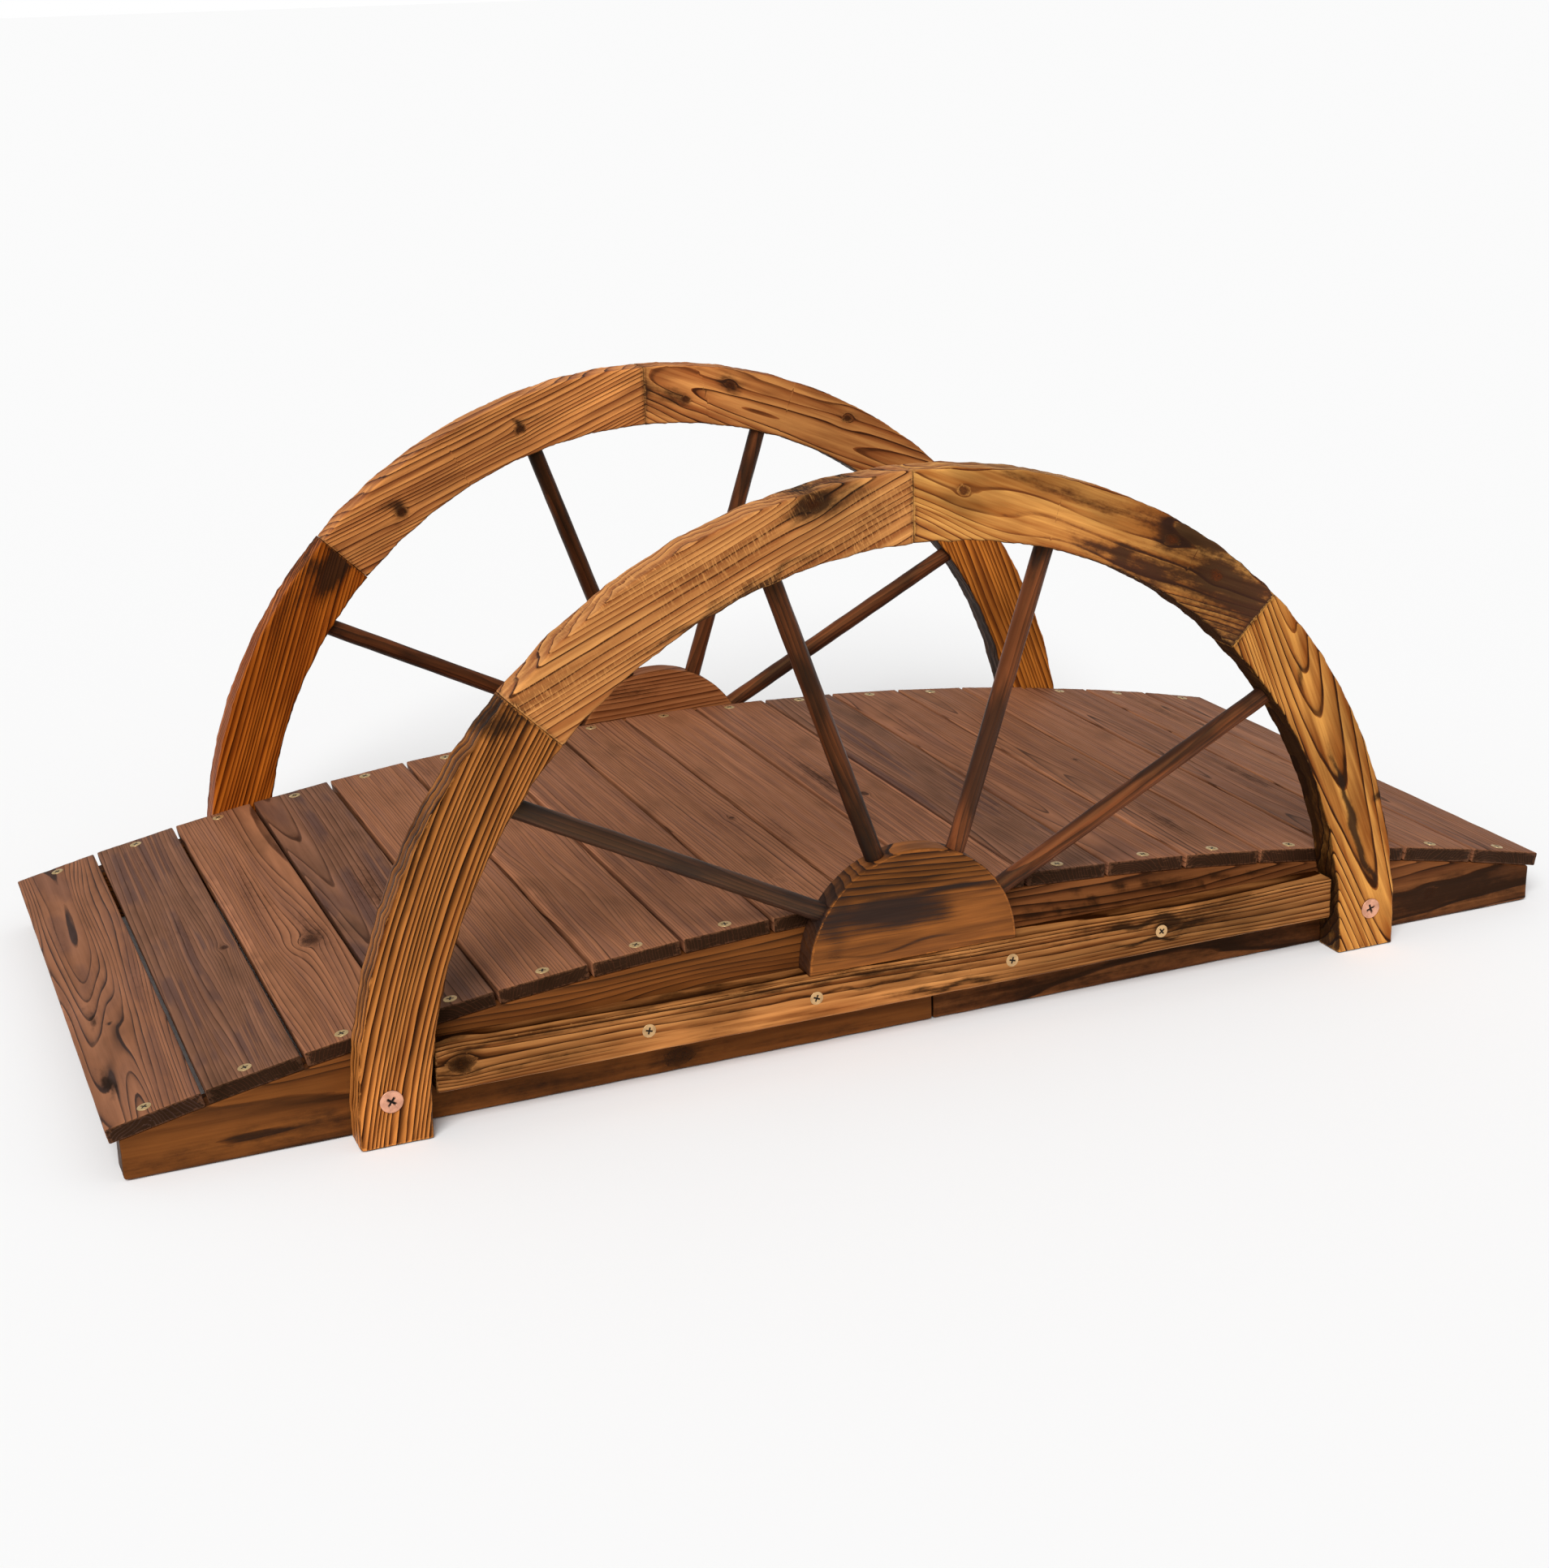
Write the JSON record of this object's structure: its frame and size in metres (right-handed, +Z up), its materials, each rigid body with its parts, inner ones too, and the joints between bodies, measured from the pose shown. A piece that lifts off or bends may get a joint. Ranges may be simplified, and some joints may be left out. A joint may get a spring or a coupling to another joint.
{
  "type": "garden moon bridge",
  "caption": "Low bowed garden footbridge of charred softwood planks, with a half wagon wheel standing on each side as its railing.",
  "frame": {"origin": "on the ground, in the middle of the bridge's length and width", "axes": "+X along the walkway, +Y across it, away from the near wheel, +Z up"},
  "size_m": [1.3296, 0.659, 0.485],
  "materials": {
    "deck_wood": "satin, charred and brushed, red-brown",
    "beam_wood": "satin, charred and brushed, brown",
    "rail_wood": "satin, charred and brushed, golden brown",
    "rim_wood": "satin, charred and brushed, golden orange",
    "hub_wood": "satin, charred and brushed, orange brown",
    "spoke_wood": "satin, charred dark brown",
    "deck_screw": "yellow zinc plated",
    "foot_screw": "copper-tinted zinc plated"
  },
  "bodies": {
    "root": {"deck_plank_01": "deck_wood", "deck_plank_02": "deck_wood", "deck_plank_03": "deck_wood", "deck_plank_04": "deck_wood", "deck_plank_05": "deck_wood", "deck_plank_06": "deck_wood", "deck_plank_07": "deck_wood", "deck_plank_08": "deck_wood", "deck_plank_09": "deck_wood", "deck_plank_10": "deck_wood", "deck_plank_11": "deck_wood", "deck_plank_12": "deck_wood", "deck_plank_13": "deck_wood", "deck_plank_14": "deck_wood", "deck_plank_15": "deck_wood", "deck_plank_16": "deck_wood", "deck_plank_17": "deck_wood", "near_beam_left": "beam_wood", "near_rim_left_leg": "rim_wood", "near_rim_left_crown": "rim_wood", "near_beam_right": "beam_wood", "near_rim_right_leg": "rim_wood", "near_rim_right_crown": "rim_wood", "near_tie_rail": "rail_wood", "near_hub": "hub_wood", "near_spoke_1": "spoke_wood", "near_spoke_2": "spoke_wood", "near_spoke_3": "spoke_wood", "near_spoke_4": "spoke_wood", "far_beam_left": "beam_wood", "far_rim_left_leg": "rim_wood", "far_rim_left_crown": "rim_wood", "far_beam_right": "beam_wood", "far_rim_right_leg": "rim_wood", "far_rim_right_crown": "rim_wood", "far_tie_rail": "rail_wood", "far_hub": "hub_wood", "far_spoke_1": "spoke_wood", "far_spoke_2": "spoke_wood", "far_spoke_3": "spoke_wood", "far_spoke_4": "spoke_wood"}
  },
  "joints": []
}
